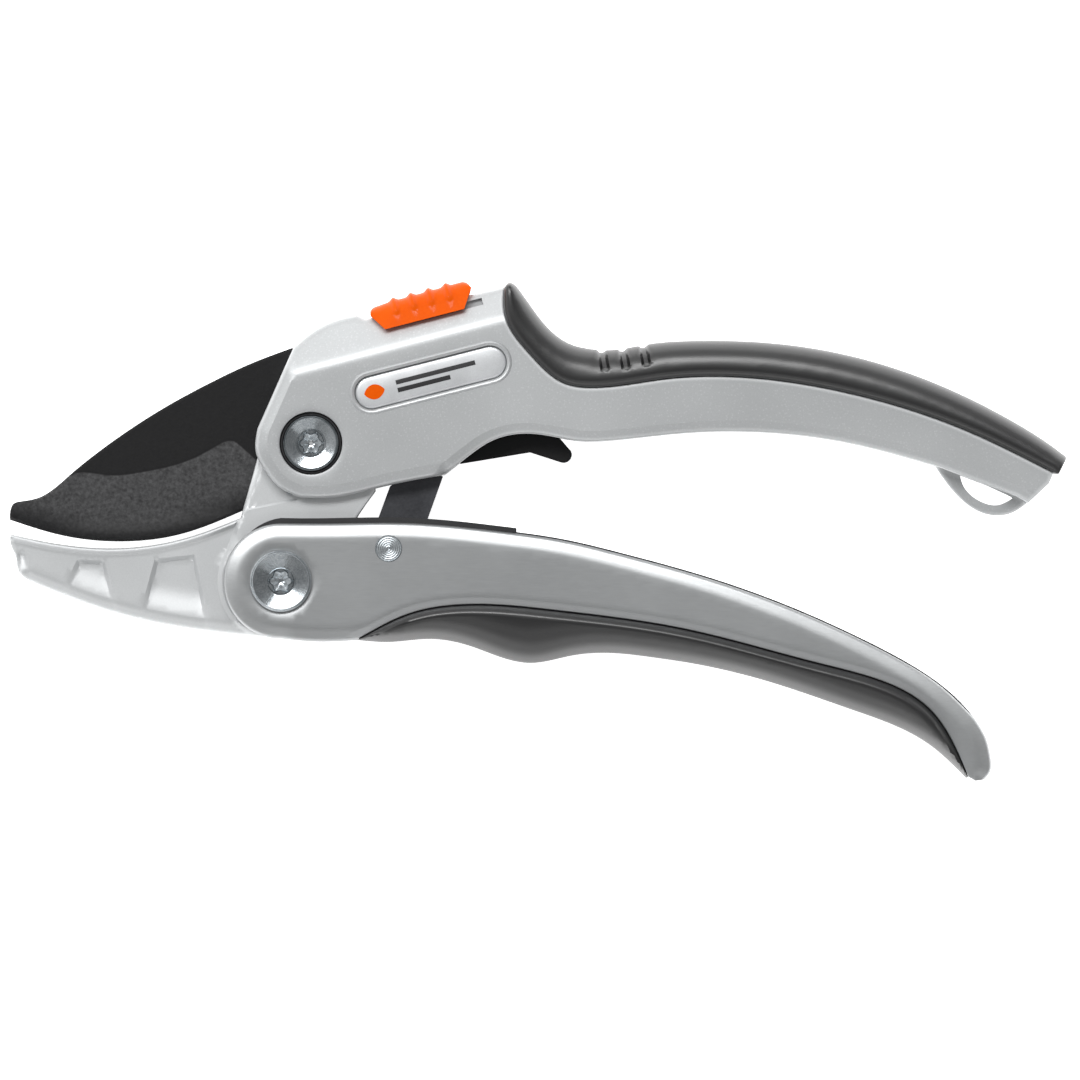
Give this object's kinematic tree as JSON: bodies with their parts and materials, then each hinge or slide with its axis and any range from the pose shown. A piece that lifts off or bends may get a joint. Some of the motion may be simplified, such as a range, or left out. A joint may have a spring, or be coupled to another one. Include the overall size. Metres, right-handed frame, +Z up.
{
  "type": "pruning shears",
  "caption": "Ratchet anvil pruning shears with a coated blade, cast anvil, two curved handles, soft grips, sliding lock and a hanging loop, lying flat.",
  "frame": {"origin": "centre of the outline's box on the plane that the shears lie on", "axes": "+X from the blade's tip to the handles' ends, +Y from the lower handle to the upper, +Z up through the thickness"},
  "size_m": [0.2112, 0.0993, 0.02],
  "materials": {
    "cast_silver": "fine-grained silver paint on cast aluminium",
    "cast_light": "lighter silver paint on cast aluminium",
    "satin_aluminium": "satin brushed",
    "soft_grip": "soft moulded grip, satin",
    "black_plastic": "moulded, matt",
    "coated_blade": "matt black non-stick coating",
    "black_steel": "black coated steel",
    "zinc_steel": "zinc plated, turned",
    "spring_steel": "plain spring steel",
    "bronze_bush": "plain sintered bronze",
    "orange_plastic": "glossy moulded plastic",
    "clear_label": "blank domed label"
  },
  "bodies": {
    "root": {"upper_handle": "cast_silver", "upper_grip": "soft_grip", "anvil_body": "cast_light", "pivot_screw": "zinc_steel", "pivot_nut": "zinc_steel", "pivot_seal_ring": "black_plastic", "handle_dowels": "zinc_steel", "lower_pivot_screw": "zinc_steel", "lower_pivot_nut": "zinc_steel", "opening_spring": "spring_steel", "badge": "clear_label"},
    "blade": {"blade": "coated_blade", "blade_bush": "bronze_bush"},
    "lock": {"lock_button": "orange_plastic", "lock_tongue": "spring_steel"},
    "lower_handle": {"lower_handle_shell": "satin_aluminium", "channel_liner": "black_plastic", "lower_grip": "soft_grip", "strut_pin": "zinc_steel"},
    "strut": {"strut": "black_steel", "strut_spring": "spring_steel"}
  },
  "joints": [
    {"name": "handle_hinge", "type": "hinge", "parent": "root", "child": "lower_handle", "pos_m": [-0.0514, -0.0099, 0.01], "axis": [0, 0, 1], "range_deg": [-24, 1.5]},
    {"name": "blade_hinge", "type": "hinge", "parent": "root", "child": "blade", "pos_m": [-0.0454, 0.0176, 0.01], "axis": [0, 0, 1], "range_deg": [-21.7, 1.4]},
    {"name": "strut_hinge", "type": "hinge", "parent": "lower_handle", "child": "strut", "pos_m": [-0.0299, -0.0034, 0.01], "axis": [0, 0, 1], "range_deg": [-2.2, 33.3]},
    {"name": "lock_slide", "type": "slide", "parent": "root", "child": "lock", "axis": [0.9681, 0.2504, 0], "range_m": [0, 0.003]}
  ],
  "couplings": [
    {"joint": "blade_hinge", "follows": "handle_hinge", "ratio": 0.9},
    {"joint": "strut_hinge", "follows": "handle_hinge", "ratio": -1.38}
  ]
}
